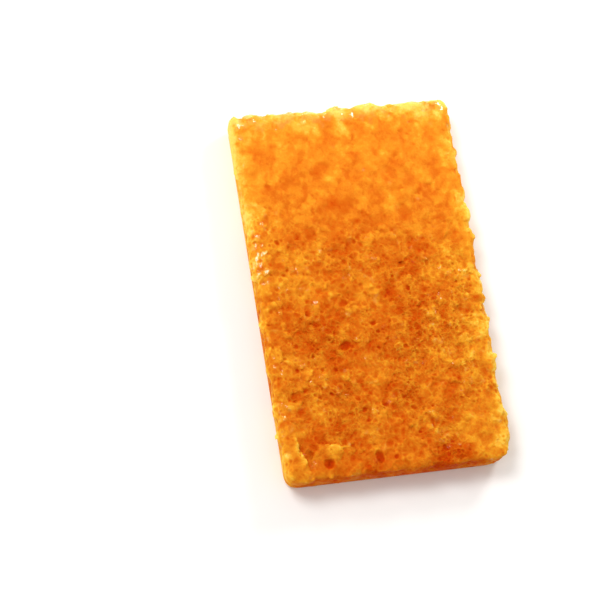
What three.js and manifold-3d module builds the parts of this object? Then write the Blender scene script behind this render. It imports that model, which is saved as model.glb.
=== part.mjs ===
// A rectangular baked cheese cracker that lies on its flat underside, with its bubbly face up.
// Millimetres, +Z up. The origin is at the middle of the underside, and the length runs along Y.

import * as THREE from "three";
import { mergeVertices } from "three/addons/utils/BufferGeometryUtils.js";
import Module from "manifold-3d";

// Driving dimensions of the whole cracker
const LENGTH = 80;
const WIDTH = 48;
const THICKNESS = 7.5;

// The four corners in plan are uneven, as baked: front is -Y, right is +X
const CORNER_RADII = { frontLeft: 2.4, frontRight: 4.2, backLeft: 1.5, backRight: 2.4 };

// The edge round the face is soft, but at the front end it is nearly sharp
const UPPER_EDGE_RADIUS = 1.7;
const FRONT_EDGE_RADIUS = 0.6;
const FRONT_EDGE_REACH = 4;

// The sides are smooth and straight low down, and bubbly above
const SMOOTH_BAND_TOP = 1.2;
const BUBBLY_BAND_BOTTOM = 3.4;

// Bubbles that swelled and stayed shut stand up as overlapping domes
const FACE_DOMES = { pitch: 3.9, radius: [2.0, 3.4], height: [0.05, 0.42] };
const RIM_DOMES = { pitch: 3.3, radius: [1.6, 2.7], height: [0.2, 0.95] };
const RIM_DOME_DEPTH = [0.6, 3.4];
const RIM_DOME_REACH = 0.82;

// Where steam escaped the face sank into wide shallow hollows
const HOLLOWS = { pitch: 12.5, radius: [3.5, 6.5], depth: [0.08, 0.3] };

// Flakes that lifted near a corner: the middle of the raised edge, the heading in degrees in which
// the flake slopes down from it, its size, and how far and deep the face is sunk behind the edge
const FLAKES = [
  { x: -13.6, y: -32.7, heading: -105, length: 4.6, halfWidth: 3.2, rise: 0.3, recess: 2.4, sink: 0.55 },
  { x: -19.4, y: -34.2, heading: 195, length: 3.4, halfWidth: 4.4, rise: 0.3, recess: 2.2, sink: 0.55 },
];

// Bubbles that burst on the face are open round pits, as deep as this share of their radius
const OPEN_BUBBLE_DEPTH = 0.6;
const OPEN_BUBBLES = [
  { x: -7.3, y: -12.6, radius: 1.05 },
  { x: -14.0, y: -4.8, radius: 0.65 },
  { x: -4.0, y: -36.4, radius: 1.0 },
  { x: -14.8, y: -36.6, radius: 1.1 },
  { x: 9.7, y: -36.0, radius: 1.0 },
  { x: -0.8, y: -8.2, radius: 0.6 },
  { x: -10.1, y: -17.1, radius: 0.6 },
  { x: 7.0, y: 4.0, radius: 0.7 },
  { x: -17.9, y: 10.7, radius: 0.75 },
];

// On the underside the pits are spread out, and shallower by a share of their radius
const UNDERSIDE_PITS = { pitch: 14.2, radius: [0.8, 1.5], sink: [-0.5, -0.15] };
const UNDERSIDE_PIT_CLEARANCE = 3.2;
const PIT_DETAIL = 2;

// Shares of a grid cell by which what stands in it may stray from its middle
const DOME_STRAY = 0.42;
const PIT_STRAY = 0.36;

// Mesh density: the slab is cut flat at the underside, so it starts a little below it
const SEGMENTS = { across: 39, along: 65, up: 5 };
const CUT_ALLOWANCE = 1.5;
const RANDOM_SEED = 20260;

const HALF_WIDTH = WIDTH / 2 - RIM_DOME_REACH;
const HALF_LENGTH = LENGTH / 2 - RIM_DOME_REACH;
const FACE_LEVEL = THICKNESS - FACE_DOMES.height[1];
const ORIGIN = new THREE.Vector2(0, 0);

const wasm = await Module();
wasm.setup();

// A repeatable source of numbers from 0 to 1.
function seededRandom(seed) {
  let state = seed;
  return () => {
    state = (state + 0x6d2b79f5) | 0;
    let mixed = Math.imul(state ^ (state >>> 15), 1 | state);
    mixed = (mixed + Math.imul(mixed ^ (mixed >>> 7), 61 | mixed)) ^ mixed;
    return ((mixed ^ (mixed >>> 14)) >>> 0) / 4294967296;
  };
}

const random = seededRandom(RANDOM_SEED);
const between = ([low, high]) => low + (high - low) * random();

// Calls place(x, y) once in each cell of a grid over a rectangle, near the cell's middle.
function scatter(halfWidth, halfLength, pitch, stray, place) {
  const columns = Math.round((2 * halfWidth) / pitch);
  const rows = Math.round((2 * halfLength) / pitch);
  for (let row = 0; row < rows; row++) {
    for (let column = 0; column < columns; column++) {
      const across = (column + 0.5 + (2 * random() - 1) * stray) / columns;
      const along = (row + 0.5 + (2 * random() - 1) * stray) / rows;
      place((2 * across - 1) * halfWidth, (2 * along - 1) * halfLength);
    }
  }
}

// Domes over the whole face.
function faceDomes() {
  const domes = [];
  scatter(HALF_WIDTH, HALF_LENGTH, FACE_DOMES.pitch, DOME_STRAY, (x, y) => {
    const centre = new THREE.Vector3(x, y, FACE_LEVEL);
    domes.push({ centre, radius: between(FACE_DOMES.radius), height: between(FACE_DOMES.height) });
  });
  return domes;
}

// Domes along the four sides, a little below the face.
function rimDomes() {
  const domes = [];
  const corners = [
    [-HALF_WIDTH, -HALF_LENGTH],
    [HALF_WIDTH, -HALF_LENGTH],
    [HALF_WIDTH, HALF_LENGTH],
    [-HALF_WIDTH, HALF_LENGTH],
  ];
  corners.forEach(([startX, startY], side) => {
    const [endX, endY] = corners[(side + 1) % corners.length];
    const count = Math.round(Math.hypot(endX - startX, endY - startY) / RIM_DOMES.pitch);
    for (let step = 0; step < count; step++) {
      const share = (step + 0.5 + (2 * random() - 1) * DOME_STRAY) / count;
      const x = startX + (endX - startX) * share;
      const y = startY + (endY - startY) * share;
      const centre = new THREE.Vector3(x, y, FACE_LEVEL - between(RIM_DOME_DEPTH));
      domes.push({ centre, radius: between(RIM_DOMES.radius), height: between(RIM_DOMES.height) });
    }
  });
  return domes;
}

// Wide hollows in the face.
function faceHollows() {
  const hollows = [];
  scatter(HALF_WIDTH, HALF_LENGTH, HOLLOWS.pitch, DOME_STRAY, (x, y) => {
    const centre = new THREE.Vector3(x, y, FACE_LEVEL);
    hollows.push({ centre, radius: between(HOLLOWS.radius), depth: between(HOLLOWS.depth) });
  });
  return hollows;
}

// How far the lifted flakes raise the face at a point, or sink it behind their raised edges.
function flakeRelief(point) {
  let total = 0;
  for (const flake of FLAKES) {
    const turn = THREE.MathUtils.degToRad(flake.heading);
    const offset = new THREE.Vector2(point.x - flake.x, point.y - flake.y).rotateAround(ORIGIN, -turn);
    const window = Math.max(0, 1 - (offset.y / flake.halfWidth) ** 2);
    const raised = flake.rise * Math.max(0, 1 - offset.x / flake.length);
    const sunk = flake.sink * Math.max(0, 1 + offset.x / flake.recess);
    total += window * (offset.x > 0 ? raised : -sunk);
  }
  return total;
}

const domes = [...faceDomes(), ...rimDomes()];
const hollows = faceHollows();

// How far the surface stands out at a point of the slab: the tallest dome and the flakes, less the hollows.
function relief(point) {
  let raised = 0;
  for (const dome of domes) {
    const share = 1 - point.distanceToSquared(dome.centre) / dome.radius ** 2;
    raised = Math.max(raised, dome.height * share);
  }
  let sunk = 0;
  for (const hollow of hollows) {
    const share = 1 - point.distanceToSquared(hollow.centre) / hollow.radius ** 2;
    if (share > 0) sunk += hollow.depth * share ** 2;
  }
  const bubbly = THREE.MathUtils.smoothstep(point.z, SMOOTH_BAND_TOP, BUBBLY_BAND_BOTTOM);
  return (raised + flakeRelief(point) - sunk) * bubbly;
}

// Bends the square edge between the sides and the face into a round one.
function roundUpperEdge(point) {
  const nearFront = THREE.MathUtils.smoothstep(FRONT_EDGE_REACH - point.y - HALF_LENGTH, 0, FRONT_EDGE_REACH);
  const radius = THREE.MathUtils.lerp(UPPER_EDGE_RADIUS, FRONT_EDGE_RADIUS, nearFront);
  const overX = Math.max(0, Math.abs(point.x) - HALF_WIDTH + radius);
  const overY = Math.max(0, Math.abs(point.y) - HALF_LENGTH + radius);
  const overZ = Math.max(0, point.z - FACE_LEVEL + radius);
  const out = Math.max(overX, overY);
  if (out === 0 || overZ === 0) return;
  const shrink = Math.max(out, overZ) / Math.hypot(out, overZ);
  point.x -= Math.sign(point.x) * overX * (1 - shrink);
  point.y -= Math.sign(point.y) * overY * (1 - shrink);
  point.z -= overZ * (1 - shrink);
}

// Bends the square corners of the plan into arcs.
function roundPlanCorner(point) {
  const end = point.y > 0 ? "back" : "front";
  const radius = CORNER_RADII[end + (point.x > 0 ? "Right" : "Left")];
  const coreX = HALF_WIDTH - radius;
  const coreY = HALF_LENGTH - radius;
  const overX = Math.abs(point.x) - coreX;
  const overY = Math.abs(point.y) - coreY;
  if (overX <= 0 || overY <= 0) return;
  const shrink = Math.max(overX, overY) / Math.hypot(overX, overY);
  point.x = Math.sign(point.x) * (coreX + overX * shrink);
  point.y = Math.sign(point.y) * (coreY + overY * shrink);
}

// The same geometry with one vertex at each place and nothing but positions.
function weld(geometry) {
  geometry.deleteAttribute("normal");
  geometry.deleteAttribute("uv");
  return mergeVertices(geometry);
}

// The slab with its bubbly face and sides, reaching below the underside.
function bubblySlab() {
  const height = FACE_LEVEL + CUT_ALLOWANCE;
  const box = new THREE.BoxGeometry(
    2 * HALF_WIDTH, 2 * HALF_LENGTH, height, SEGMENTS.across, SEGMENTS.along, SEGMENTS.up);
  const slab = weld(box.translate(0, 0, height / 2 - CUT_ALLOWANCE));
  const positions = slab.getAttribute("position");
  const point = new THREE.Vector3();
  for (let i = 0; i < positions.count; i++) {
    point.fromBufferAttribute(positions, i);
    roundUpperEdge(point);
    roundPlanCorner(point);
    positions.setXYZ(i, point.x, point.y, point.z);
  }
  slab.computeVertexNormals();
  const normals = slab.getAttribute("normal");
  const outward = new THREE.Vector3();
  for (let i = 0; i < positions.count; i++) {
    point.fromBufferAttribute(positions, i);
    outward.fromBufferAttribute(normals, i);
    point.addScaledVector(outward, relief(point));
    positions.setXYZ(i, point.x, point.y, point.z);
  }
  return weld(slab);
}

// A ball that leaves a burst bubble's pit when it is taken out.
function pit(x, y, z, radius) {
  return weld(new THREE.IcosahedronGeometry(radius, PIT_DETAIL).translate(x, y, z));
}

function facePits() {
  return OPEN_BUBBLES.map(({ x, y, radius }) => {
    const height = FACE_LEVEL + relief(new THREE.Vector3(x, y, FACE_LEVEL));
    return pit(x, y, height + (1 - OPEN_BUBBLE_DEPTH) * radius, radius);
  });
}

function undersidePits() {
  const made = [];
  const halfWidth = HALF_WIDTH - UNDERSIDE_PIT_CLEARANCE;
  const halfLength = HALF_LENGTH - UNDERSIDE_PIT_CLEARANCE;
  scatter(halfWidth, halfLength, UNDERSIDE_PITS.pitch, PIT_STRAY, (x, y) => {
    const radius = between(UNDERSIDE_PITS.radius);
    made.push(pit(x, y, between(UNDERSIDE_PITS.sink) * radius, radius));
  });
  return made;
}

// Conversions between a geometry and a solid that can be cut.
function solidOf(geometry) {
  return new wasm.Manifold(new wasm.Mesh({
    numProp: 3,
    vertProperties: geometry.getAttribute("position").array,
    triVerts: new Uint32Array(geometry.index.array),
  }));
}

function geometryOf(solid) {
  const { vertProperties, triVerts } = solid.getMesh();
  return new THREE.BufferGeometry()
    .setAttribute("position", new THREE.BufferAttribute(vertProperties, 3))
    .setIndex(new THREE.BufferAttribute(triVerts, 1));
}

// The whole cracker: the slab cut flat below, its burst bubbles taken out, brought to its exact size.
function crackerGeometry() {
  const below = weld(new THREE.BoxGeometry(2 * WIDTH, 2 * LENGTH, 2 * THICKNESS));
  let solid = solidOf(bubblySlab()).subtract(solidOf(below.translate(0, 0, -THICKNESS)));
  for (const ball of [...facePits(), ...undersidePits()]) {
    solid = solid.subtract(solidOf(ball));
  }
  const geometry = geometryOf(solid);
  geometry.computeBoundingBox();
  const centre = geometry.boundingBox.getCenter(new THREE.Vector3());
  const size = geometry.boundingBox.getSize(new THREE.Vector3());
  geometry.translate(-centre.x, -centre.y, 0);
  geometry.scale(WIDTH / size.x, LENGTH / size.y, THICKNESS / size.z);
  geometry.computeVertexNormals();
  return geometry;
}

const bakedCheese = new THREE.MeshStandardMaterial({ color: 0xee8a1c, roughness: 0.5, metalness: 0 });
const cracker = new THREE.Mesh(crackerGeometry(), bakedCheese);
cracker.name = "cracker";

const part = new THREE.Group();
part.add(cracker);

export default part;
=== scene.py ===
import bmesh
import bpy
import numpy as np
from mathutils import Matrix, Vector
from mathutils.bvhtree import BVHTree
from mathutils.kdtree import KDTree


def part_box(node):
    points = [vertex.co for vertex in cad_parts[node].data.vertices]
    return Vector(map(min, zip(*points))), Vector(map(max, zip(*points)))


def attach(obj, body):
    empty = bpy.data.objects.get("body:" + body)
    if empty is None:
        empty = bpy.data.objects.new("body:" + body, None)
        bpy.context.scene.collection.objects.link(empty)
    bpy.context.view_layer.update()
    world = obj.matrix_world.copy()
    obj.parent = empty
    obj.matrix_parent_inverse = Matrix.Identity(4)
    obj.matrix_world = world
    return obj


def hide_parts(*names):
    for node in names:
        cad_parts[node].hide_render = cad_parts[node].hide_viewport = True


# Lengths are in millimetres up to the mesh, which is in metres
MM = 0.001
UPWARD = np.array([0.0, 0.0, 1.0])
SEED = 4127

# Grid of the field: its step, the steps between measures of the solid, and the room around and below it
VOXEL = 0.2
COARSE = 2
MARGIN = 1.6
BELOW = 4 * VOXEL

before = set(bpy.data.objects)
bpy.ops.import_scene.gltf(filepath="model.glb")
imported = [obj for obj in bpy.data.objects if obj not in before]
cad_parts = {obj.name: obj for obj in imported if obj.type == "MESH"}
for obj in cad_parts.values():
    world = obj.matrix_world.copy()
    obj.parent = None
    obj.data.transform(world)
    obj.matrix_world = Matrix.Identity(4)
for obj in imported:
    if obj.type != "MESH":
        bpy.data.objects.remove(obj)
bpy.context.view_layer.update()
rng = np.random.default_rng(SEED)


# The cracker's solid as a field of signed distances: negative inside

class Grid:
    """A box of evenly spaced points around the cracker."""

    def __init__(self, low, high):
        step = VOXEL * COARSE
        self.coarse_shape = np.ceil((high - low + 2 * MARGIN) / step).astype(int) + 1
        self.origin = np.array([low[0] - MARGIN, low[1] - MARGIN, -BELOW])
        self.coarse_shape[2] = int(np.ceil((high[2] + MARGIN + BELOW) / step)) + 1
        self.shape = (self.coarse_shape - 1) * COARSE + 1
        self.half = (high - low)[:2] / 2

    def axis(self, number, first=0, last=None):
        """Coordinates of the points along an axis."""
        last = self.shape[number] if last is None else last
        return (np.arange(first, last) * VOXEL + self.origin[number]).astype(np.float32)

    def places(self, steps):
        """Places of points that are given in steps of the grid."""
        return steps * VOXEL + self.origin

    def block(self, centre, reach):
        """Slices of the points within reach of a centre, and their offsets from it."""
        first = np.maximum(np.floor((centre - reach - self.origin) / VOXEL).astype(int), 0)
        last = np.minimum(np.ceil((centre + reach - self.origin) / VOXEL).astype(int) + 1, self.shape)
        cut = tuple(slice(a, b) for a, b in zip(first, last))
        x = (self.axis(0, first[0], last[0]) - centre[0])[:, None, None]
        y = (self.axis(1, first[1], last[1]) - centre[1])[None, :, None]
        z = (self.axis(2, first[2], last[2]) - centre[2])[None, None, :]
        return cut, x, y, z


def surface_tree(node):
    corners = [v.co / MM for v in node.data.vertices]
    faces = [tuple(p.vertices) for p in node.data.polygons]
    return BVHTree.FromPolygons(corners, faces)


# A vertical line is shifted sideways by each of these in turn, until it grazes no edge of the solid
LINE_SHIFTS = (0.0013, 0.0041, -0.0037, 0.0089)
SHIFT_SLANT = 1.3
LINE_START = -1.0
PAST_HIT = 0.0005

# Distances further than this are cut short
LONGEST_DISTANCE = 2.0


def crossings_above(tree, x, y):
    """Heights at which a vertical line meets the solid's surface."""
    for shift in LINE_SHIFTS:
        found = []
        hit = Vector((x + shift, y + SHIFT_SLANT * shift, LINE_START))
        while hit is not None:
            hit = tree.ray_cast(hit + Vector((0, 0, PAST_HIT)), Vector((0, 0, 1)))[0]
            if hit is not None:
                found.append(hit.z)
        if len(found) % 2 == 0:
            break
    return found


def solid_field(grid, tree):
    """Distances from the CAD solid's surface, measured coarsely and filled in between."""
    step = VOXEL * COARSE
    field = np.empty(grid.coarse_shape, np.float32)
    for i in range(grid.coarse_shape[0]):
        x = grid.origin[0] + i * step
        for j in range(grid.coarse_shape[1]):
            y = grid.origin[1] + j * step
            heights = crossings_above(tree, x, y)
            for k in range(grid.coarse_shape[2]):
                z = grid.origin[2] + k * step
                distance = min(tree.find_nearest(Vector((x, y, z)))[3], LONGEST_DISTANCE)
                inside = sum(height < z for height in heights) % 2 == 1
                field[i, j, k] = -distance if inside else distance
    for axis in range(3):
        field = between_samples(field, axis)
    return field


def between_samples(field, axis):
    """The field with a midway sample put between each two along an axis."""
    field = np.moveaxis(field, axis, 0)
    dense = np.empty((2 * field.shape[0] - 1, *field.shape[1:]), np.float32)
    dense[::2] = field
    dense[1::2] = (field[1:] + field[:-1]) / 2
    return np.moveaxis(dense, 0, axis)


def blurred(field, radius):
    """The field smoothed with a soft brush of that radius, wrapping round at its ends."""
    spectrum = np.fft.rfftn(field)
    for axis, count in enumerate(field.shape):
        rate = np.fft.rfftfreq(count) if axis == 2 else np.fft.fftfreq(count)
        damping = np.exp(-2 * (np.pi * rate * radius / VOXEL) ** 2)
        shape = [1, 1, 1]
        shape[axis] = len(damping)
        spectrum *= damping.reshape(shape)
    return np.fft.irfftn(spectrum, s=field.shape).astype(np.float32)


def soft_noise(shape, radius):
    """Smooth seeded noise with lumps of about that radius, of mean 0 and spread 1."""
    noise = blurred(rng.standard_normal(shape).astype(np.float32), radius)
    return (noise - noise.mean()) / noise.std()


def fade(values, start, end):
    """From 0 at the start to 1 at the end, with a soft beginning and ending."""
    share = np.clip((values - start) / (end - start), 0, 1)
    return share * share * (3 - 2 * share)


def smooth_union(a, b, blend):
    """Two fields joined, with a soft seam of about that width."""
    share = np.clip(0.5 + 0.5 * (b - a) / blend, 0, 1)
    return b + (a - b) * share - blend * share * (1 - share)


def smooth_cut(a, b, blend):
    """The first field less the second, with a soft edge of about that width."""
    return -smooth_union(-a, b, blend)


# Places on the solid's skin

# Faces that look up less than this have no places. Inside the rim, that leaves out the walls of pits
RIM_WIDTH = 3.5
LEAST_UPWARD = -0.3
LEAST_UPWARD_INSIDE = 0.8
LEAST_AREA = 1e-9
TRIES_PER_PLACE = 4
NEIGHBOURS = [(a, b, c) for a in (0, -1, 1) for b in (0, -1, 1) for c in (0, -1, 1)]

# Domes and hollows change the field as far as this many times their radius
DOME_REACH = 1.5
HOLLOW_REACH = 1.25


def skin_points(node, spacing, lowest):
    """Points and normals spread over the face and sides above a height, no two closer than the spacing."""
    mesh = node.data
    mesh.calc_loop_triangles()
    corners = np.array([v.co for v in mesh.vertices]) / MM
    triangles = np.array([t.vertices for t in mesh.loop_triangles])
    a, b, c = (corners[triangles[:, n]] for n in range(3))
    cross = np.cross(b - a, c - a)
    area = np.linalg.norm(cross, axis=1) / 2
    normal = cross / np.maximum(2 * area, LEAST_AREA)[:, None]
    upward = normal[:, 2]
    middle = (a + b + c) / 3
    inside = np.all(np.abs(middle[:, :2]) < np.abs(corners[:, :2]).max(axis=0) - RIM_WIDTH, axis=1)
    area[(upward < LEAST_UPWARD) | (inside & (upward < LEAST_UPWARD_INSIDE))] = 0
    count = int(TRIES_PER_PLACE * area.sum() / spacing**2)
    chosen = rng.choice(len(area), count, p=area / area.sum())
    u, v = rng.random(count), rng.random(count)
    flip = u + v > 1
    u[flip], v[flip] = 1 - u[flip], 1 - v[flip]
    spots = a[chosen] + u[:, None] * (b - a)[chosen] + v[:, None] * (c - a)[chosen]
    order = np.flatnonzero(spots[:, 2] > lowest)
    kept = spread_out(spots, np.full(count, spacing / 2), order, {}, spacing)
    return spots[kept], normal[chosen][kept]


def spread_out(spots, sizes, order, cells, reach):
    """Which spots, taken in that order, are the sum of two sizes away from all those in the cells."""
    kept = []
    for n in order:
        x, y, z = spots[n].tolist()
        size = float(sizes[n])
        i, j, k = int(x // reach), int(y // reach), int(z // reach)
        near = (taken for a, b, c in NEIGHBOURS for taken in cells.get((i + a, j + b, k + c), ()))
        if all((x - u) ** 2 + (y - v) ** 2 + (z - w) ** 2 >= (size + other) ** 2 for u, v, w, other in near):
            cells.setdefault((i, j, k), []).append((x, y, z, size))
            kept.append(n)
    return kept


def cap_ball(size, height):
    """Radius of the ball whose cap has that radius and height."""
    return (size**2 + height**2) / (2 * height)


def ball_distance(x, y, z, middle, radius):
    return np.sqrt((x - middle[0]) ** 2 + (y - middle[1]) ** 2 + (z - middle[2]) ** 2) - radius


def add_dome(field, grid, spot, normal, size, height, blend):
    """Raises a round cap of that radius and height on the skin."""
    radius = cap_ball(size, height)
    reach = DOME_REACH * size
    cut, x, y, z = grid.block(spot, reach)
    ball = ball_distance(x, y, z, normal * (height - radius), radius)
    here = field[cut]
    field[cut] = np.where(x * x + y * y + z * z < reach**2, smooth_union(here, ball, blend), here)


def cut_hollow(field, grid, spot, normal, size, depth, blend):
    """Sinks a round hollow of that radius and depth into the skin."""
    radius = cap_ball(size, depth)
    reach = HOLLOW_REACH * size + blend
    cut, x, y, z = grid.block(spot, reach)
    ball = ball_distance(x, y, z, normal * (radius - depth), radius)
    here = field[cut]
    field[cut] = np.where(x * x + y * y + z * z < reach**2, smooth_cut(here, ball, blend), here)


# The crumb. A pair of numbers is the start and end of a change, or the limits of a value

# The solid's edges and facets are softened by this radius
SOLID_BLUR = 0.4

# The sides are smooth up to this height, and as bubbly as the face from this much higher
SMOOTH_BAND = 1.0
BUBBLY_RISE = 2.2

# Seeded noise by the size of its lumps, and how much two of its kinds raise or sink the skin
ZONE_SIZE = 2.2
PATCH_SIZE = 1.0
CLUMP_SIZE = 0.5
LUMP_SIZE = 1.2
CLUMP_HEIGHT = 0.075
LUMP_HEIGHT = 0.06

# The far half and the near corners are calm: smoother, with weaker cells
CALM_RANGE = (3, 21)
CALM_SLANT = 0.12
CALM_WAVER = 3.5
CALM_CORNER = (19, -34)
CALM_CORNER_RANGE = (9, 4)
CALM_CORNER_SHARE = 0.6
CALM_SMOOTHNESS = 0.65
CALM_WEAKNESS = 0.6

# The left and near sides are straight
STRAIGHT_LEFT = (-22.4, -23.8)
STRAIGHT_NEAR = (-38.4, -39.8)
STRAIGHT_SHARE = 0.75

# Cells from large to small: radius, share of places filled, chance of having burst, chance of a bead
CELL_SIZES = (
    (0.85, 0.18, 0.02, 0.15),
    (0.63, 0.32, 0.06, 0.22),
    (0.47, 0.55, 0.12, 0.28),
    (0.35, 0.80, 0.20, 0.28),
    (0.26, 0.90, 0.28, 0.26),
)
LOWEST_CELL = 1.5
CELL_PITCH = 1.7
CELL_VARIETY = (0.85, 1.15)
CELL_OVERLAP = 0.84

# Kinds of cell: depth, or height of a bead, as a share of the radius, and how much its colour differs.
# Hollow cells are painted deeper inside, as painted shade, and paler on their walls, as painted light
CELL_KINDS = {
    "burst": ((0.2, 0.5), (0.8, 1.6)),
    "sunk": ((0.05, 0.22), (0.1, 0.9)),
    "bead": ((0.15, 0.42), (0.4, 1.4)),
}
WALL_TONES = (0.3, 1.2)
WALL_WIDTH = 0.14
TINT_MARGIN = 0.4
SIDE_BEAD_LOSS = 0.8
DOME_BLEND = 0.06
HOLLOW_BLEND = 0.05

# How much the chances of a burst cell and of a bead follow the noise, and their limits
BURST_WAVER = 0.45
BURST_LIMITS = (0.3, 1.8)
BEAD_WAVER = 0.8
BEAD_LIMITS = (0, 2.5)

# Flakes that lifted at the near left corner: x, y of the edge, heading down the slope, length, half width
FLAKES = (
    (-13.6, -32.7, -105, 4.6, 3.2),
    (-19.4, -34.2, 195, 3.4, 4.4),
)
FLAKE_LIFT = 0.38
FLAKE_GAP = 1.2

# Curds, which are low leaning plates on the face, and the gaps between them
CURD_SEED = 311
CURD_TRIES = 9000
CURD_OVERHANG = 2
CURD_RADIUS = 1.1
CURD_VARIETY = (0.55, 1.45)
CURD_STRETCH = np.array([1.0, 1.2])
CURD_HEIGHT = 0.14
CURD_FACE = (5.0, 6.5)
CURD_SLOPE = (-0.2, 1.0)
CURD_LEAST = 0.4
CURD_LEAN = 0.5
CURD_BEND = 0.28
CURD_BEND_SIZE = 0.55
GAP_NOISE_SIZE = 0.9
GAP_SLOPE = (0.0, 0.45)
GAP_MIDDLE = 0.6
GAP_WAVER = 0.5
GAP_LIMITS = (0, 1.3)
# The gaps between the curds are painted deeper, as painted shade
GAP_TONE = 0.8

# Open bubbles that stand out on the face: x, y, radius
OPEN_BUBBLES = (
    (-7.3, -12.6, 1.05),
    (-14.0, -4.8, 0.65),
    (-4.0, -36.4, 1.0),
    (-14.8, -36.6, 1.1),
    (9.7, -36.0, 0.75),
    (-0.8, -8.2, 0.6),
    (-10.1, -17.1, 0.6),
    (-17.9, 10.7, 0.55),
    (-0.5, -13.8, 0.35),
    (5.0, -14.0, 0.5),
    (7.7, -1.8, 0.5),
    (-5.5, -26.1, 0.5),
    (-0.9, -25.5, 0.6),
    (-11.9, -22.5, 0.5),
    (-15.4, -22.1, 0.4),
    (-17.0, -21.0, 0.45),
    (3.0, -24.9, 0.45),
    (-9.3, -33.4, 0.4),
    (-1.0, -36.7, 0.45),
    (-5.3, -28.5, 0.4),
    (8.6, -27.1, 0.4),
)

# Their height is that of the face at some spots around, and sizes are shares of the radius
BUBBLE_SPOTS = 6
BUBBLE_SURROUND = 1.6
BUBBLE_DEPTH = 0.4
BUBBLE_BLEND = 0.06
BUBBLE_TINT = 1.08
# Painted shade in the bubble and painted light on its wall
BUBBLE_CORE = 1.6
BUBBLE_WALL = 0.5
BUBBLE_SHARPNESS = 6

# Pale nodules: x, y, radius
NODULES = (
    (-4.0, -5.0, 0.75),
    (-5.1, -5.2, 0.6),
    (-8.7, -1.3, 0.7),
    (11.3, -10.3, 0.9),
    (7.0, -31.4, 0.8),
    (8.1, -32.2, 0.7),
)
NODULE_HEIGHT = 0.4
NODULE_BLEND = 0.1
NODULE_PALENESS = 1.8

# Small yellow grains of cheese on the calm parts of the face
GRAIN_SEED = 58
GRAIN_COUNT = 800
GRAIN_INSET = 2
GRAIN_RADII = (0.25, 0.75)
GRAIN_TONES = (0.25, 0.75)
GRAIN_LEAST_CALM = 0.25
GRAIN_HEIGHT = 0.12
GRAIN_SHARPNESS = 3

# Beads of the outline, most along the right side and less at the far end
RIM_BEAD_PITCH = 2.3
LOWEST_RIM_BEAD = 2.2
RIM_BEAD_RIGHT = 0.9
RIM_BEAD_FAR = 0.35
RIM_BEAD_LEAST = 0.25
RIM_BEAD_RADII = (0.6, 1.6)
RIM_BEAD_LEAST_SCALE = 0.6
RIM_BEAD_HEIGHTS = (0.1, 0.55)

# Wet scales on the left and far rims, which lean to the left: x, y, heading, length, half width
SCALES = (
    (-22.4, 13.6, 50, 0.6, 0.30),
    (-21.7, 12.2, 70, 0.9, 0.32),
    (-21.2, 10.2, 55, 0.6, 0.28),
    (-22.6, 10.3, 80, 0.7, 0.30),
    (-20.7, 8.7, 45, 0.9, 0.30),
    (-22.2, 8.2, 65, 1.0, 0.32),
    (-23.0, 6.5, 75, 0.9, 0.30),
    (-21.9, 6.4, 40, 0.7, 0.28),
    (-21.1, 4.6, 35, 1.0, 0.52),
    (-22.7, 4.3, 70, 0.8, 0.30),
    (-21.4, 2.4, 60, 0.9, 0.36),
    (-22.1, -26.1, 60, 0.5, 0.28),
    (-22.6, -33.7, 60, 0.4, 0.28),
    (-22.0, 37.4, 30, 0.5, 0.30),
    (-18.8, 38.2, 80, 0.6, 0.28),
    (-13.1, 37.8, 85, 0.6, 0.26),
    (-8.2, 36.5, 10, 0.9, 0.26),
    (-5.3, 37.3, 25, 0.8, 0.26),
    (-3.5, 37.8, 35, 0.5, 0.26),
    (9.8, 36.1, 20, 0.6, 0.26),
    (14.8, 37.1, 70, 0.4, 0.28),
    (18.9, 37.8, 65, 0.7, 0.30),
    (22.1, 33.0, 20, 0.4, 0.30),
    (21.2, 26.5, 30, 0.5, 0.26),
)
SCALE_NORMAL = np.array([-0.310, 0.021, 0.950])
SCALE_HEIGHT = 0.1
SCALE_ROOT = 0.8
WET_SKIN = (0.1, 0.02)

# Small wet scales over the open crumb of the nearer half
GLINT_SEED = 77
GLINT_COUNT = 110
GLINT_AREA = ((-21, -38), (21, 12))
GLINT_LENGTHS = (0.1, 0.6)
GLINT_HALF_WIDTHS = (0.18, 0.24)
GLINT_WETNESS = (0.15, 0.6)

# Shallow pits of the underside
PIT_COUNT = 130
PIT_INSET = 3
PIT_RADII = (0.25, 0.7)
PIT_DEPTHS = (0.2, 0.6)
# Painted shade in the pit and painted light on its wall
PIT_CORE = 0.7
PIT_WALL = 0.4


def packed_cells(node, openness, clustering):
    """Cells side by side along the skin, large ones first: place, normal, radius and kind."""
    taken = {}
    cells = []
    reach = 2 * CELL_SIZES[0][0]
    for radius, share, bursts, beads in CELL_SIZES:
        spots, normals = skin_points(node, CELL_PITCH * radius, LOWEST_CELL)
        sizes = radius * rng.uniform(*CELL_VARIETY, len(spots))
        order = np.flatnonzero(rng.random(len(spots)) < share)
        for n in spread_out(spots, CELL_OVERLAP * sizes, order, taken, reach):
            draw = rng.random()
            if draw < bursts * openness(spots[n]):
                kind = "burst"
            elif draw > 1 - beads * clustering(spots[n]):
                kind = "bead"
            else:
                kind = "sunk"
            cells.append((spots[n], normals[n], sizes[n], kind))
    return cells


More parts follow.
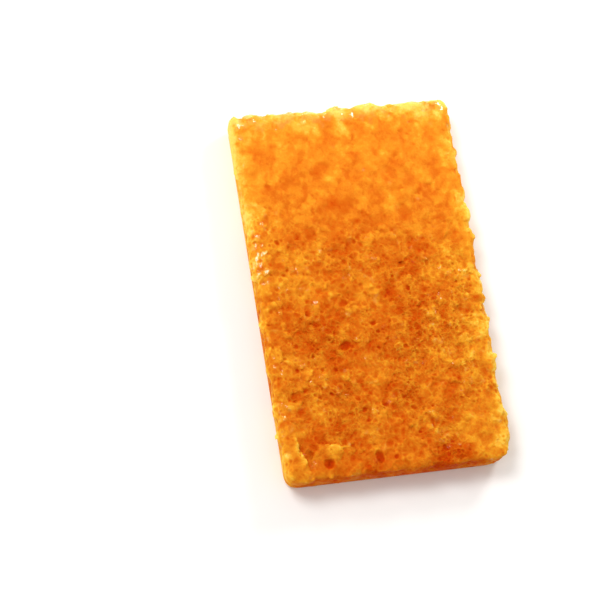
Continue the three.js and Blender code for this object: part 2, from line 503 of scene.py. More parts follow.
def flake_rise(grid):
    """Height that the lifted flakes add to the face, and their plates less the gaps behind them, for painted
    light on the plates and painted shade in the gaps.
    """
    x = grid.axis(0)[:, None]
    y = grid.axis(1)[None, :]
    rise = np.zeros((grid.shape[0], grid.shape[1]), np.float32)
    plates = np.zeros_like(rise)
    for middle_x, middle_y, heading, length, half_width in FLAKES:
        turn = np.radians(heading)
        down = (x - middle_x) * np.cos(turn) + (y - middle_y) * np.sin(turn)
        across = (y - middle_y) * np.cos(turn) - (x - middle_x) * np.sin(turn)
        window = np.clip(1 - (across / half_width) ** 2, 0, 1)
        slope = np.where(down > 0, np.clip(1 - down / length, 0, 1), 0)
        rise = np.maximum(rise, FLAKE_LIFT * slope * window)
        gap = np.where(down < 0, np.clip(1 + down / FLAKE_GAP, 0, 1), 0)
        plates += window * (slope - gap)
    return rise[:, :, None], plates[:, :, None]


def curds(grid):
    """How far the curds stand up, in shares of their height, and their tones less the painted shade of the
    gaps.
    """
    dice = np.random.default_rng(CURD_SEED)
    reach = (grid.half + CURD_OVERHANG) / CURD_STRETCH
    spots = np.column_stack([dice.uniform(-reach, reach, (CURD_TRIES, 2)), np.zeros(CURD_TRIES)])
    sizes = CURD_RADIUS * dice.uniform(*CURD_VARIETY, len(spots))
    widest = 2 * CURD_RADIUS * CURD_VARIETY[1]
    spots = spots[spread_out(spots, sizes, range(len(spots)), {}, widest)]
    tree = KDTree(len(spots))
    for n, spot in enumerate(spots):
        tree.insert(spot, n)
    tree.balance()
    tones = dice.uniform(-1, 1, len(spots))
    heights = dice.uniform(0, 1, len(spots))
    leans = dice.normal(0, 1, (len(spots), 2))
    flat = (grid.shape[0], grid.shape[1], 1)
    noise_sizes = (CURD_BEND_SIZE, CURD_BEND_SIZE, GAP_NOISE_SIZE)
    bend_x, bend_y, depth = (soft_noise(flat, size)[:, :, 0] for size in noise_sizes)
    rise = np.zeros(flat[:2], np.float32)
    tone = np.zeros_like(rise)
    for i, x in enumerate(grid.axis(0) / CURD_STRETCH[0]):
        for j, y in enumerate(grid.axis(1) / CURD_STRETCH[1]):
            place = Vector((x + CURD_BEND * bend_x[i, j], y + CURD_BEND * bend_y[i, j], 0))
            (middle, n, first), (_, _, second) = tree.find_n(place, 2)
            apart = second - first
            away = place - middle
            plate = fade(apart, *CURD_SLOPE)
            tilt = CURD_LEAN * (leans[n, 0] * away.x + leans[n, 1] * away.y)
            rise[i, j] = plate * (CURD_LEAST + heights[n] + tilt)
            gap = (1 - fade(apart, *GAP_SLOPE)) * np.clip(GAP_MIDDLE + GAP_WAVER * depth[i, j], *GAP_LIMITS)
            tone[i, j] = plate * tones[n] - GAP_TONE * gap
    return rise[:, :, None], tone[:, :, None]


def straightness(x, y):
    """How straight the outline is: most along the left and near sides."""
    return np.maximum(fade(x, *STRAIGHT_LEFT), fade(y, *STRAIGHT_NEAR))


class Crumb:
    """The field of the cracker with its crumb, and the fields that its colour follows."""

    def __init__(self, grid, node, solid):
        self.grid = grid
        across = grid.axis(0)[:, None, None]
        along = grid.axis(1)[None, :, None]
        heights = grid.axis(2)[None, None, :]
        corner = np.hypot(np.abs(across) - CALM_CORNER[0], along - CALM_CORNER[1])
        corner = CALM_CORNER_SHARE * fade(corner, *CALM_CORNER_RANGE)
        self.zones = soft_noise(grid.shape, ZONE_SIZE)
        far_half = fade(along + CALM_SLANT * across + CALM_WAVER * self.zones, *CALM_RANGE)
        self.calm = np.maximum(far_half, corner)
        self.patches = soft_noise(grid.shape, PATCH_SIZE)
        self.clumps = soft_noise(grid.shape, CLUMP_SIZE)
        lumps = LUMP_HEIGHT * soft_noise(grid.shape, LUMP_SIZE) + CLUMP_HEIGHT * self.clumps
        curd_rise, self.curds = curds(grid)
        lumps = lumps - CURD_HEIGHT * curd_rise * fade(heights, *CURD_FACE)
        uneven = (1 - CALM_SMOOTHNESS * self.calm) * (1 - STRAIGHT_SHARE * straightness(across, along))
        rise, self.flakes = flake_rise(grid)
        bubbly = np.clip((heights - SMOOTH_BAND) / BUBBLY_RISE, 0, 1)
        self.ground = (lumps * uneven - rise) * bubbly
        self.field = blurred(solid, SOLID_BLUR) + self.ground
        self.cores = np.zeros_like(solid)
        self.walls = np.zeros_like(solid)
        self.wet = np.zeros_like(solid)
        for cell in packed_cells(node, self.openness, self.clustering):
            self.add_cell(*cell)
        for x, y, radius in OPEN_BUBBLES:
            self.open_bubble(x, y, radius)
        for x, y, radius in NODULES:
            self.raise_nodule(self.face_spot(x, y), radius)
        self.add_grains()
        self.add_rim_beads(node)
        for x, y, heading, length, half_width in SCALES:
            self.raise_scale(self.face_spot(x, y), np.radians(heading), length, half_width)
        self.add_glints()
        self.add_underside_pits()
        self.field = np.maximum(self.field, -heights)

    def at(self, values, spot):
        """Value of a field at the point of the grid that is nearest to a spot."""
        place = np.round((spot - self.grid.origin) / VOXEL).astype(int)
        return values[tuple(np.clip(place, 0, self.grid.shape - 1))]

    def face_spot(self, x, y):
        """The place on the face above a point of the plan."""
        column = self.field[tuple(np.round((np.array([x, y]) - self.grid.origin[:2]) / VOXEL).astype(int))]
        return np.array([x, y, self.grid.origin[2] + np.flatnonzero(column < 0)[-1] * VOXEL])

    def liveliness(self, spot):
        return 1 - CALM_WEAKNESS * self.at(self.calm, spot)

    def openness(self, spot):
        return np.clip(1 + BURST_WAVER * self.at(self.zones, spot), *BURST_LIMITS) * self.liveliness(spot)

    def clustering(self, spot):
        return np.clip(1 - BEAD_WAVER * self.at(self.patches, spot), *BEAD_LIMITS)

    def add_cell(self, spot, normal, size, kind):
        spot = spot - normal * self.at(self.ground, spot)
        lively = self.liveliness(spot)
        depths, tones = CELL_KINDS[kind]
        depth = lively * size * rng.uniform(*depths)
        tone = lively * rng.uniform(*tones)
        if kind == "bead":
            sideways = max(0, -normal[0], -normal[1])
            height = depth * (1 - SIDE_BEAD_LOSS * sideways)
            add_dome(self.field, self.grid, spot, normal, size, height, DOME_BLEND)
            self.tint(spot, size, -tone, 0)
        else:
            cut_hollow(self.field, self.grid, spot, normal, size, depth, HOLLOW_BLEND)
            self.tint(spot, size, tone, lively * rng.uniform(*WALL_TONES))

    def tint(self, spot, size, core, wall, sharpness=2):
        """Deepens the colour within a cell, the more evenly the sharper, and lightens its wall. In a hollow,
        that is painted shade inside and painted light on the wall.
        """
        cut, x, y, z = self.grid.block(spot, size + TINT_MARGIN)
        away = np.sqrt(x * x + y * y + z * z)
        within = core * np.clip(1 - (away / size) ** sharpness, 0, 1)
        here = self.cores[cut]
        self.cores[cut] = np.where(np.abs(within) > np.abs(here), within, here)
        self.walls[cut] = np.maximum(self.walls[cut], wall * np.exp(-((away - size) / WALL_WIDTH) ** 2))

    def open_bubble(self, x, y, radius):
        turns = np.arange(BUBBLE_SPOTS) * 2 * np.pi / BUBBLE_SPOTS
        reach = BUBBLE_SURROUND * radius
        around = [self.face_spot(x + reach * np.cos(turn), y + reach * np.sin(turn)) for turn in turns]
        spot = np.array([x, y, np.mean(around, axis=0)[2]])
        cut_hollow(self.field, self.grid, spot, UPWARD, radius, BUBBLE_DEPTH * radius, BUBBLE_BLEND)
        self.tint(spot, BUBBLE_TINT * radius, BUBBLE_CORE, BUBBLE_WALL, BUBBLE_SHARPNESS)

    def raise_nodule(self, spot, radius):
        add_dome(self.field, self.grid, spot, UPWARD, radius, NODULE_HEIGHT * radius, NODULE_BLEND)
        self.tint(spot, radius, -NODULE_PALENESS, 0)

    def add_grains(self):
        dice = np.random.default_rng(GRAIN_SEED)
        reach = self.grid.half - GRAIN_INSET
        for x, y in dice.uniform(-reach, reach, (GRAIN_COUNT, 2)):
            spot = self.face_spot(x, y)
            share = self.at(self.calm, spot)
            radius = dice.uniform(*GRAIN_RADII)
            tone = dice.uniform(*GRAIN_TONES)
            if share > GRAIN_LEAST_CALM:
                add_dome(self.field, self.grid, spot, UPWARD, radius, GRAIN_HEIGHT * radius, DOME_BLEND)
                self.tint(spot, radius, -share * tone, 0, GRAIN_SHARPNESS)

    def add_rim_beads(self, node):
        for spot, normal in zip(*skin_points(node, RIM_BEAD_PITCH, LOWEST_RIM_BEAD)):
            strength = max(RIM_BEAD_RIGHT * normal[0], RIM_BEAD_FAR * normal[1])
            if strength > RIM_BEAD_LEAST:
                size = rng.uniform(*RIM_BEAD_RADII) * max(strength, RIM_BEAD_LEAST_SCALE)
                height = strength * rng.uniform(*RIM_BEAD_HEIGHTS)
                add_dome(self.field, self.grid, spot, normal, size, height, DOME_BLEND)

    def raise_scale(self, spot, turn, length, half_width, wetness=1.0):
        """Raises a flat leaning scale with round ends."""
        cut, x, y, z = self.grid.block(spot, length + half_width)
        along = np.clip(x * np.cos(turn) + y * np.sin(turn), -length / 2, length / 2)
        aside = np.hypot(x - along * np.cos(turn), y - along * np.sin(turn)) - half_width
        flat = x * SCALE_NORMAL[0] + y * SCALE_NORMAL[1] + z * SCALE_NORMAL[2] - SCALE_HEIGHT
        scale = np.maximum(np.maximum(flat, aside), -z - SCALE_ROOT)
        self.field[cut] = np.minimum(self.field[cut], scale)
        self.wet[cut] = np.maximum(self.wet[cut], wetness * fade(scale, *WET_SKIN))

    def add_glints(self):
        dice = np.random.default_rng(GLINT_SEED)
        for x, y in dice.uniform(*GLINT_AREA, (GLINT_COUNT, 2)):
            turn = dice.uniform(0, np.pi)
            length = dice.uniform(*GLINT_LENGTHS)
            half_width = dice.uniform(*GLINT_HALF_WIDTHS)
            wetness = dice.uniform(*GLINT_WETNESS)
            self.raise_scale(self.face_spot(x, y), turn, length, half_width, wetness)

    def add_underside_pits(self):
        low = self.grid.origin[:2] + MARGIN + PIT_INSET
        high = self.grid.origin[:2] + self.grid.shape[:2] * VOXEL - MARGIN - PIT_INSET
        for _ in range(PIT_COUNT):
            spot = np.array([*rng.uniform(low, high), 0.0])
            size = rng.uniform(*PIT_RADII)
            depth = size * rng.uniform(*PIT_DEPTHS)
            cut_hollow(self.field, self.grid, spot, -UPWARD, size, depth, HOLLOW_BLEND)
            self.tint(spot, size, PIT_CORE, PIT_WALL)


# From the field to a mesh

FACE_TARGET = 194000
CORNERS = [(i, j, k) for i in (0, 1) for j in (0, 1) for k in (0, 1)]
EDGES = [(a, b) for a in range(8) for b in range(a + 1, 8)
         if sum(abs(p - q) for p, q in zip(CORNERS[a], CORNERS[b])) == 1]
QUAD_STEPS = ((1, 1), (0, 1), (0, 0), (1, 0))


def net_vertices(field):
    """A vertex, in steps of the grid, for each cell where the field is zero, and the vertices' numbers."""
    inside = field < 0
    count = np.zeros(np.array(field.shape) - 1, np.int8)
    for i, j, k in CORNERS:
        count += inside[i:inside.shape[0] - 1 + i, j:inside.shape[1] - 1 + j, k:inside.shape[2] - 1 + k]
    cells = np.argwhere((count > 0) & (count < len(CORNERS)))
    number = np.full(count.shape, -1, np.int32)
    number[tuple(cells.T)] = np.arange(len(cells))
    values = np.stack([field[tuple((cells + corner).T)] for corner in CORNERS], 1)
    total = np.zeros((len(cells), 3))
    crossings = np.zeros(len(cells))
    for a, b in EDGES:
        crosses = (values[:, a] < 0) != (values[:, b] < 0)
        start, end = values[crosses, a], values[crosses, b]
        share = (start / (start - end))[:, None]
        total[crosses] += np.array(CORNERS[a]) + share * (np.array(CORNERS[b]) - np.array(CORNERS[a]))
        crossings[crosses] += 1
    return cells + total / crossings[:, None], number


def net_quads(field, number):
    """Quads that join the vertices around each step of the grid that goes through the surface."""
    inside = field < 0
    quads = []
    for axis in range(3):
        one, two = [n for n in range(3) if n != axis]
        low = [slice(None)] * 3
        high = [slice(None)] * 3
        low[axis] = slice(None, -1)
        high[axis] = slice(1, None)
        starts = inside[tuple(low)]
        at = np.argwhere(starts != inside[tuple(high)])
        at = at[(at[:, one] > 0) & (at[:, two] > 0)]
        around = []
        for step_one, step_two in QUAD_STEPS:
            cell = at.copy()
            cell[:, one] -= step_one
            cell[:, two] -= step_two
            around.append(number[tuple(cell.T)])
        quad = np.stack(around, 1)
        outward = starts[tuple(at.T)]
        flip = outward if axis == 1 else ~outward
        quad[flip] = quad[flip][:, ::-1]
        quads.append(quad)
    return np.concatenate(quads)


def sampled(values, places):
    """Values of a field at places given in steps of its grid."""
    base = np.clip(np.floor(places).astype(int), 0, np.array(values.shape) - 2)
    share = places - base
    total = np.zeros(len(places))
    for corner in CORNERS:
        weight = np.prod(np.where(np.array(corner) == 1, share, 1 - share), axis=1)
        total += weight * values[tuple((base + corner).T)]
    return total


def mesh_object(name, vertices, quads):
    mesh = bpy.data.meshes.new(name)
    mesh.vertices.add(len(vertices))
    mesh.vertices.foreach_set("co", vertices.astype(np.float32).ravel())
    mesh.loops.add(quads.size)
    mesh.loops.foreach_set("vertex_index", quads.astype(np.int32).ravel())
    mesh.polygons.add(len(quads))
    mesh.polygons.foreach_set("loop_start", np.arange(0, quads.size, quads.shape[1], dtype=np.int32))
    mesh.update(calc_edges=True)
    mesh.validate()
    made = bpy.data.objects.new(name, mesh)
    bpy.context.scene.collection.objects.link(made)
    return made


def thin_out(made, faces):
    """Collapses the mesh to about that many triangles, flat places first."""
    modifier = made.modifiers.new("thin", "DECIMATE")
    modifier.ratio = faces / (2 * len(made.data.polygons))
    modifier.use_collapse_triangulate = True
    evaluated = made.evaluated_get(bpy.context.evaluated_depsgraph_get())
    mesh = bpy.data.meshes.new_from_object(evaluated)
    made.modifiers.remove(modifier)
    made.data = mesh


def keep_largest_body(mesh):
    """Removes triangles back to back, and what is not joined to the largest body of a mesh."""
    shape = bmesh.new()
    shape.from_mesh(mesh)
    twins = {}
    for face in shape.faces:
        twins.setdefault(frozenset(face.verts), []).append(face)
    folded = [face for faces in twins.values() if len(faces) > 1 for face in faces]
    bmesh.ops.delete(shape, geom=folded, context="FACES")
    waiting = set(shape.verts)
    bodies = []
    while waiting:
        front = [waiting.pop()]
        body = []
        while front:
            vertex = front.pop()
            body.append(vertex)
            joined = {edge.other_vert(vertex) for edge in vertex.link_edges} & waiting
            waiting -= joined
            front.extend(joined)
        bodies.append(body)
    bodies.sort(key=len)
    bmesh.ops.delete(shape, geom=[vertex for body in bodies[:-1] for vertex in body], context="VERTS")
    shape.to_mesh(mesh)
    shape.free()


# Tones over the mesh, in even steps: paler is above zero and deeper below

UNDERSIDE_HEIGHTS = (0.5, 0.1)

# Painted light and shade: ridges are painted paler and hollows deeper, by how full the surroundings are near
# by and further off
CLOSE_RADIUS = 0.4
CLOSE_WEIGHT = 2.6
WIDE_RADIUS = 1.2
WIDE_WEIGHT = 1.2
CELL_WEIGHT = 1.4

# Mottling by the noise and the curds, weaker where the crumb is calm
ZONE_WEIGHT = 0.21
PATCH_WEIGHT = 0.42
CLUMP_WEIGHT = 0.26
CURD_WEIGHT = 0.72
CALM_CLEARNESS = 0.32
PLATEAU_STEEPNESS = 1.6
PLATEAU_SPREAD = 0.75

# Tones above this one rise more slowly
KNEE_TONE = 0.8
KNEE_SLOPE = 0.7

# The face as a whole, and what its far half, flakes and wet places add
BASE_TONE = -0.45
# The far half is painted paler, as painted light
FAR_RANGE = (2, 22)
FAR_PAINTED_LIGHT = 0.80
# The flakes' plates are painted paler and the gaps behind them deeper: painted light and painted shade
FLAKE_TONE = 1.4
FLAKE_HEIGHTS = (1.5, 5.0)
# The wet scales are painted paler, as part of a painted highlight
WET_HIGHLIGHT_TONE = 0.9

# Painted light along the rims, for the light that comes through them from the side, and how far in it
# reaches. Towards the far end, the left gains and the right loses
LEFT_GLOW = 2.3
LEFT_GAIN = 0.6
LEFT_REACH = 1.0
LEFT_REACH_GAIN = 0.5
LEFT_GAIN_RANGE = (-5, 20)
RIGHT_GLOW = 2.4
RIGHT_LOSS = 1.2
RIGHT_LOSS_RANGE = (2, 28)
RIGHT_REACH = 4.6
FAR_GLOW = 2.75
FAR_REACH = 4.2

# Patches that baked deeper, or less deep where below zero: x, y, radius, depth of colour. The one on the
# left rim by the middle is painted shade instead
DEEP_PATCHES = (
    (-9.7, 26.4, 2.2, 0.9),
    (9.0, 31.8, 2.4, 1.0),
    (-4.9, 32.0, 2.2, 0.7),
    (-4.0, 17.0, 2.6, 0.8),
    (14.2, 19.2, 2.2, 0.7),
    (-18.8, 16.1, 1.6, 0.7),
    (10.3, 6.9, 1.4, 0.9),
    (-11.0, -7.2, 1.8, 0.9),
    (4.2, -2.1, 1.2, 0.9),
    (5.1, -6.5, 1.4, 0.9),
    (6.9, -26.0, 3.0, 0.6),
    (14.5, -26.6, 2.4, 0.8),
    (19.1, 32.2, 3.0, 0.8),
    # Painted shade on the left rim by the middle
    (-22.8, -2.3, 2.2, 0.9),
    (-22.4, -19.5, 2.4, 0.6),
    (-19.5, -6.0, 4.0, -0.15),
)

# Pale near corners: x, y, distances at which they start and are full
PALE_CORNERS = (
    (19, -33, 8, 3),
    (-21, -35, 10, 3),
)
CORNER_TONE = 0.5

# Painted shade: a deep strip along the near edge between the corners, and the deep side below it
STRIP_RANGE = (-34.5, -37)
STRIP_LEFT = (-16, -9)
STRIP_RIGHT = (18, 12)
STRIP_HEIGHTS = (1.5, 5.0)
STRIP_TONE = -0.8
SIDE_RANGE = (-38.4, -39.4)
SIDE_HEIGHTS = (7.0, 6.0)
SIDE_TONE = -0.9

# Lace of bubbles too fine for the mesh, whose deep cores are painted shade: most inside the rims of the
# face, and weaker where calm
LACE_INSIDE = (23, 18)
LACE_HEIGHTS = (3.0, 6.0)
LACE_AT_RIM = 0.35
LACE_CALM_LOSS = 0.75
LACE_WAVER = 0.35
LACE_LIMITS = (0.3, 1.7)
LACE_BELOW = 0.8

# Painted shade: darker in red from the far end to the nearer half
NEAR_SHADE_RANGE = (30, -2)

# Spots of fat on pale places, closer together at the far end and further apart where the crumb is calm
FAT_SIZE = 0.28
FAT_HEIGHTS = (4.5, 6.3)
FAT_TONES = (0.2, 1.0)
FAT_RANGE = (1.3, 1.8)
FAT_FAR_RANGE = (33, 38)
FAT_FAR_GAIN = 2.6
FAT_CALM_LOSS = 0.9

# The crumb is bent by noise above a height: size of its lumps, and the shift in x, y and z
WARPS = (
    (0.7, (0.13, 0.13, 0.05)),
    (0.32, (0.05, 0.05, 0.03)),
)
WARP_HEIGHTS = (0.6, 2.1)


def underside(crumb, vertices):
    """1 on the flat underside and 0 above it."""
    return fade(crumb.grid.places(vertices)[:, 2], *UNDERSIDE_HEIGHTS)


def plateaus(noise):
    """The noise with flat tops and bottoms and steep slopes between, of the same spread."""
    return np.tanh(PLATEAU_STEEPNESS * noise) / PLATEAU_SPREAD


def crumb_tone(crumb, vertices):
    """Painted light and shade of the ridges, hollows and cells, and the tones of the mottling, whose curd
    gaps are painted shade.
    """
    filled = (crumb.field < 0).astype(np.float32)
    close = 0.5 - sampled(blurred(filled, CLOSE_RADIUS), vertices)
    wide = 0.5 - sampled(blurred(filled, WIDE_RADIUS), vertices)
    cells = sampled(crumb.walls - crumb.cores, vertices)
    # Painted light on ridges and cell walls, and painted shade in hollows and cell cores
    tone = CLOSE_WEIGHT * close + WIDE_WEIGHT * wide + CELL_WEIGHT * cells
    mottling = ZONE_WEIGHT * crumb.zones + PATCH_WEIGHT * plateaus(crumb.patches)
    mottling += CLUMP_WEIGHT * plateaus(crumb.clumps)
    # The curd gaps are painted shade
    mottling -= CURD_WEIGHT * crumb.curds
    clearness = 1 - CALM_CLEARNESS * sampled(crumb.calm, vertices)
    tone -= clearness * (1 - underside(crumb, vertices)) * sampled(mottling, vertices)
    return np.where(tone > KNEE_TONE, KNEE_TONE + KNEE_SLOPE * (tone - KNEE_TONE), tone)


def painted_rim_light(grid, x, y):
    """Painted light: how much paler the rims are painted, where light comes through them from the side as
    well.
    """
    gain = fade(y, *LEFT_GAIN_RANGE)
    left = LEFT_GLOW + LEFT_GAIN * gain
    left = left * np.exp(-(x + grid.half[0]) / (LEFT_REACH + LEFT_REACH_GAIN * gain))
    right = RIGHT_GLOW - RIGHT_LOSS * fade(y, *RIGHT_LOSS_RANGE)
    right = right * np.exp((x - grid.half[0]) / RIGHT_REACH)
    far = FAR_GLOW * np.exp((y - grid.half[1]) / FAR_REACH)
    return np.hypot(np.maximum(left, right), far)


def near_tone(x, y, z):
    """Tones of the near corners, and painted shade on the strip between them and on the side below it."""
    corners = sum(fade(np.hypot(x - corner_x, y - corner_y), start, full)
                  for corner_x, corner_y, start, full in PALE_CORNERS)
    strip = fade(y, *STRIP_RANGE) * fade(x, *STRIP_LEFT) * fade(x, *STRIP_RIGHT) * fade(z, *STRIP_HEIGHTS)
    side = fade(y, *SIDE_RANGE) * fade(z, *SIDE_HEIGHTS)
    return CORNER_TONE * corners + STRIP_TONE * strip + SIDE_TONE * side


def colour_depth(crumb, vertices):
    """How pale the cracker is at each vertex, painted light and shade included."""
    grid = crumb.grid
    x, y, z = grid.places(vertices).T
    pale = crumb_tone(crumb, vertices)
    # Painted light along the rims and over the far half
    pale += painted_rim_light(grid, x, y) + FAR_PAINTED_LIGHT * fade(y, *FAR_RANGE) + BASE_TONE
    for patch_x, patch_y, radius, depth in DEEP_PATCHES:
        pale -= depth * np.exp(-((x - patch_x) ** 2 + (y - patch_y) ** 2) / radius**2)
    flakes = sampled(np.broadcast_to(crumb.flakes, grid.shape), vertices)
    # Painted light on the flakes' plates and painted shade in the gaps behind them
    pale += FLAKE_TONE * flakes * fade(z, *FLAKE_HEIGHTS)
    # Painted shade on the near strip and side
    pale += near_tone(x, y, z)
    # Painted highlight on the wet scales
    pale += WET_HIGHLIGHT_TONE * sampled(crumb.wet, vertices)
    return pale


def lace_strength(crumb, vertices):
    """How open the fine crumb is: most in the nearer half of the face, least along the rims."""
    x, _, z = crumb.grid.places(vertices).T
    inside = fade(np.abs(x), *LACE_INSIDE) * fade(z, *LACE_HEIGHTS)
    zones = np.clip(1 + LACE_WAVER * sampled(crumb.zones, vertices), *LACE_LIMITS)
    upper = 1 - LACE_CALM_LOSS * sampled(crumb.calm, vertices)
    upper = upper * (LACE_AT_RIM + (1 - LACE_AT_RIM) * inside) * zones
    return np.maximum(upper, LACE_BELOW * underside(crumb, vertices))


def near_shade(crumb, vertices):
    """Painted shade: none at the far end, most in the nearer half."""
    return fade(crumb.grid.places(vertices)[:, 1], *NEAR_SHADE_RANGE)


def gloss(crumb, vertices, pale):
    """Where fat glistens: on the wet scales, and in spots on pale places."""
    _, y, z = crumb.grid.places(vertices).T
    spots = sampled(soft_noise(crumb.grid.shape, FAT_SIZE), vertices)
    spots += FAT_FAR_GAIN * fade(y, *FAT_FAR_RANGE)
    spots -= FAT_CALM_LOSS * sampled(crumb.calm, vertices)
    spots = fade(z, *FAT_HEIGHTS) * fade(spots, *FAT_RANGE) * fade(pale, *FAT_TONES)
    return np.maximum(sampled(crumb.wet, vertices), spots)


def warped(crumb, vertices):
    """Places of the vertices, bent by noise where they are not wet, low or on a straight side."""
    grid = crumb.grid
    places = grid.places(vertices)
    shift = np.zeros(places.shape)
    for size, amount in WARPS:
        shift += np.stack([sampled(soft_noise(grid.shape, size), vertices) for _ in range(3)], 1) * amount
    loose = fade(places[:, 2], *WARP_HEIGHTS) * (1 - sampled(crumb.wet, vertices))
    loose *= 1 - STRAIGHT_SHARE * straightness(places[:, 0], places[:, 1])
    return places + loose[:, None] * shift


def store(made, name, values):
    made.data.attributes.new(name, "FLOAT", "POINT").data.foreach_set("value", values.astype(np.float32))


def build_cracker():
    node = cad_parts["cracker"]
    low, high = (np.array(corner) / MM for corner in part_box("cracker"))
    grid = Grid(low, high)
    crumb = Crumb(grid, node, solid_field(grid, surface_tree(node)))
    vertices, number = net_vertices(crumb.field)
    made = mesh_object("cracker_baked", warped(crumb, vertices) * MM, net_quads(crumb.field, number))
    pale = colour_depth(crumb, vertices)
    store(made, "pale", pale)
    store(made, "lace", lace_strength(crumb, vertices))
    store(made, "gloss", gloss(crumb, vertices, pale))
    store(made, "near_shade", near_shade(crumb, vertices))
    store(made, "underside", underside(crumb, vertices))
    thin_out(made, FACE_TARGET)
    mesh = made.data
    keep_largest_body(mesh)
    mesh.polygons.foreach_set("use_smooth", np.ones(len(mesh.polygons), bool))
    mesh.update()
    return made


# Materials

# Colour of the middle tone, the rise of its logarithm with each step, and the whitening of the palest tones,
# which are mostly the painted light of the rims
MIDDLE_COLOUR = np.array([0.672, 0.158, 0.0066])
PALER_STEP = np.array([0.12, 0.44, 0.65])
DEEPER_STEP = np.array([0.085, 0.44, 1.12])
PALEST_WHITENING = np.array([0, 0, 0.55])
WHITENING_FROM = 1.5
LIGHTEST = 0.97
# Painted shade of the nearer half, multiplied into the colour
NEAR_SHADE_COLOUR = (0.925, 1.0, 0.90)
LAST_TONE = 3
RAMP_TONES = (-3, -1.5, 0, 1, 1.5, 2.25, 3)

# Noise: lumps per metre and detail. Four numbers are a range of values and the range that it becomes
SWIRL_NOISE = (1200, 2)
SWIRL_SHIFT = 0.5 * MM
LACE_CELLS = 1300
LACE_CHANCES = (0.25, 1.0, 0.0, 0.64)
LACE_WALLS = (0.0, 0.14, 0.34, 0.0)
LACE_CORES = (0.08, 0.34, 0.0, 1.0)
SPECKLE_NOISE = (2600, 3)
SPECKLE_TONES = (0, 1, -0.6, 0.6)
BLOTCH_NOISE = (420, 4)
BLOTCH_TONES = (0.25, 0.75, -1.6, 1.6)
BUMP_HEIGHT = 0.12 * MM

BAKED_SURFACE = {
    "Coat Roughness": 0.08,
    "Coat IOR": 1.6,
    "Roughness": 0.5,
    "IOR": 1.45,
    "Specular IOR Level": 0.02,
    "Subsurface Weight": 0.55,
    "Subsurface Radius": (1.0, 0.45, 0.25),
    "Subsurface Scale": 0.9 * MM,
}
FLOOR_SURFACE = {
    "Base Color": (0.9, 0.9, 0.9, 1),
    "Roughness": 0.6,
}


class Shading:
    """A new material and its nodes. An input is given a value or another node's output."""

    def __init__(self, name):
        self.material = bpy.data.materials.new(name)
        self.material.use_nodes = True
        self.nodes = self.material.node_tree.nodes
        self.links = self.material.node_tree.links
        self.surface = self.nodes["Principled BSDF"]

    def set_inputs(self, node, inputs):
        for name, value in inputs.items():
            if isinstance(value, bpy.types.NodeSocket):
                self.links.new(value, node.inputs[name])
            else:
                node.inputs[name].default_value = value

    def add(self, kind, inputs, **settings):
        node = self.nodes.new("ShaderNode" + kind)
        for name, setting in settings.items():
            setattr(node, name, setting)
        self.set_inputs(node, inputs)
        return node

    def attribute(self, name):
        return self.add("Attribute", {}, attribute_name=name).outputs["Fac"]

    def math(self, operation, *values):
        return self.add("Math", dict(enumerate(values)), operation=operation).outputs[0]

    def mapped(self, source, first, last, to_first, to_last):
        ends = {"From Min": first, "From Max": last, "To Min": to_first, "To Max": to_last}
        return self.add("MapRange", {"Value": source, **ends}).outputs["Result"]

    def noise(self, coordinates, scale, detail):
        return self.add("TexNoise", {"Vector": coordinates, "Scale": scale, "Detail": detail}).outputs

    def voronoi(self, coordinates, scale, feature):
        return self.add("TexVoronoi", {"Vector": coordinates, "Scale": scale}, feature=feature).outputs

    def ramp(self, source, stops):
        node = self.add("ValToRGB", {"Fac": source})
        elements = node.color_ramp.elements
        while len(elements) < len(stops):
            elements.new(0.5)
        for element, (place, colour) in zip(elements, stops):
            element.position = place
            element.color = (*colour, 1)
        return node.outputs["Color"]


def cheese_colour(pale):
    """Colour of the baked cheese: light that went a longer way through it is deeper and redder."""
    per_step = PALER_STEP if pale > 0 else DEEPER_STEP
    # The palest tones, mostly painted rim light, are whitened
    whitening = PALEST_WHITENING * max(pale - WHITENING_FROM, 0)
    return tuple(np.minimum(MIDDLE_COLOUR * np.exp(per_step * pale + whitening), LIGHTEST))


def fine_lace(shading, coordinates):
    """Bubbles too fine for the mesh: pale walls are above zero and deep cores below, as painted light and
    painted shade.
    """
    swirl = shading.noise(coordinates, *SWIRL_NOISE)["Color"]
    bend = {0: swirl, 1: (SWIRL_SHIFT,) * 3, 2: coordinates}
    bent = shading.add("VectorMath", bend, operation="MULTIPLY_ADD").outputs["Vector"]
    edge = shading.voronoi(bent, LACE_CELLS, "DISTANCE_TO_EDGE")["Distance"]
    cell_colour = shading.voronoi(bent, LACE_CELLS, "F1")["Color"]
    chance = shading.add("SeparateColor", {"Color": cell_colour}).outputs["Red"]
    wall = shading.mapped(edge, *LACE_WALLS)
    core = shading.mapped(edge, *LACE_CORES)
    core = shading.math("MULTIPLY", core, shading.mapped(chance, *LACE_CHANCES))
    return shading.math("SUBTRACT", wall, core)


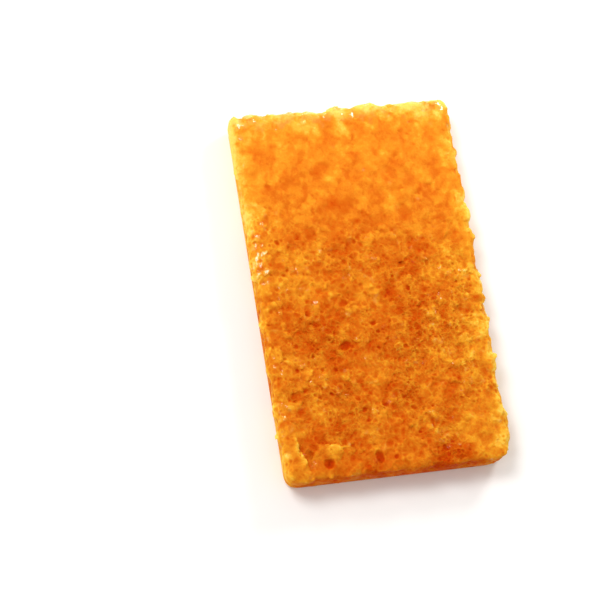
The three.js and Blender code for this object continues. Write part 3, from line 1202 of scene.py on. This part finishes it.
def baked_cheese():
    shading = Shading("baked_cheese")
    coordinates = shading.add("TexCoord", {}).outputs["Object"]
    strength = shading.attribute("lace")
    lace = shading.math("MULTIPLY", fine_lace(shading, coordinates), strength)
    speckle = shading.mapped(shading.noise(coordinates, *SPECKLE_NOISE)["Fac"], *SPECKLE_TONES)
    blotches = shading.mapped(shading.noise(coordinates, *BLOTCH_NOISE)["Fac"], *BLOTCH_TONES)
    detail = shading.math("ADD", lace, speckle)
    detail = shading.math("MULTIPLY_ADD", blotches, shading.attribute("underside"), detail)
    pale = shading.math("ADD", detail, shading.attribute("pale"))
    share = shading.mapped(pale, -LAST_TONE, LAST_TONE, 0, 1)
    stops = [(0.5 + tone / (2 * LAST_TONE), cheese_colour(tone)) for tone in RAMP_TONES]
    # The nearer half gets painted shade, darker in red
    colours = {"Factor": shading.attribute("near_shade"), "A": shading.ramp(share, stops), "B": (*NEAR_SHADE_COLOUR, 1)}
    near_shaded = shading.add("Mix", colours, data_type="RGBA", blend_type="MULTIPLY")
    relief = shading.math("MULTIPLY_ADD", speckle, strength, lace)
    bump = shading.add("Bump", {"Strength": 1.0, "Distance": BUMP_HEIGHT, "Height": relief})
    shading.set_inputs(shading.surface, {
        "Base Color": near_shaded.outputs["Result"],
        "Normal": bump.outputs["Normal"],
        "Coat Weight": shading.attribute("gloss"),
        **BAKED_SURFACE,
    })
    return shading.material


def white_floor():
    shading = Shading("floor")
    shading.set_inputs(shading.surface, FLOOR_SURFACE)
    return shading.material


# Stage, light and camera, in metres

FLOOR_SIZE = 6
SKY_COLOUR = (1, 0.95, 0.89, 1)
SKY_STRENGTH = 0.59

# Lamps: name, place, aim, size, power in watts
LAMPS = (
    ("key", (-0.25, 0.20, 0.50), (0, 0.01, 0), 0.24, 2.05),
    ("left", (-0.33, -0.13, 0.16), (-0.02, 0, 0), 0.15, 0.25),
    ("back", (0.14, 0.13, 0.13), (0.01, 0.01, 0), 0.06, 0.24),
)

# The camera as fitted to the photograph. The lens and sensor are in millimetres
LENS = 150
SENSOR_WIDTH = 36
CLIP_START = 0.01
CAMERA_BACK = (-0.19926, -0.28463, 0.93770)
CAMERA_UP = (0.10241, 0.94560, 0.30880)
CAMERA_AIM = (-0.01434, -0.00087, 0.00367)
CAMERA_DISTANCE = 0.5123


def build_floor():
    bpy.ops.mesh.primitive_plane_add(size=FLOOR_SIZE, location=(0, 0, 0))
    floor = bpy.context.object
    floor.name = "floor"
    floor.data.materials.append(white_floor())


def area_light(name, place, aim, size, power):
    light = bpy.data.lights.new(name, "AREA")
    light.size = size
    light.energy = power
    lamp = bpy.data.objects.new(name, light)
    lamp.location = place
    lamp.rotation_euler = (Vector(aim) - Vector(place)).to_track_quat("-Z", "Y").to_euler()
    bpy.context.scene.collection.objects.link(lamp)


def build_light():
    world = bpy.data.worlds.new("studio")
    world.use_nodes = True
    background = world.node_tree.nodes["Background"]
    background.inputs["Color"].default_value = SKY_COLOUR
    background.inputs["Strength"].default_value = SKY_STRENGTH
    bpy.context.scene.world = world
    for lamp in LAMPS:
        area_light(*lamp)


def build_camera():
    camera = bpy.data.cameras.new("camera")
    camera.lens = LENS
    camera.sensor_width = SENSOR_WIDTH
    camera.clip_start = CLIP_START
    holder = bpy.data.objects.new("camera", camera)
    bpy.context.scene.collection.objects.link(holder)
    back = Vector(CAMERA_BACK).normalized()
    right = Vector(CAMERA_UP).cross(back).normalized()
    up = back.cross(right)
    turn = Matrix((right, up, back)).transposed()
    place = Vector(CAMERA_AIM) + back * CAMERA_DISTANCE
    holder.matrix_world = Matrix.Translation(place) @ turn.to_4x4()
    bpy.context.scene.camera = holder


cracker = build_cracker()
cracker.data.materials.append(baked_cheese())
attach(cracker, "root")
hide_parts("cracker")
build_floor()
build_light()
build_camera()
bpy.context.scene.view_settings.view_transform = "Standard"
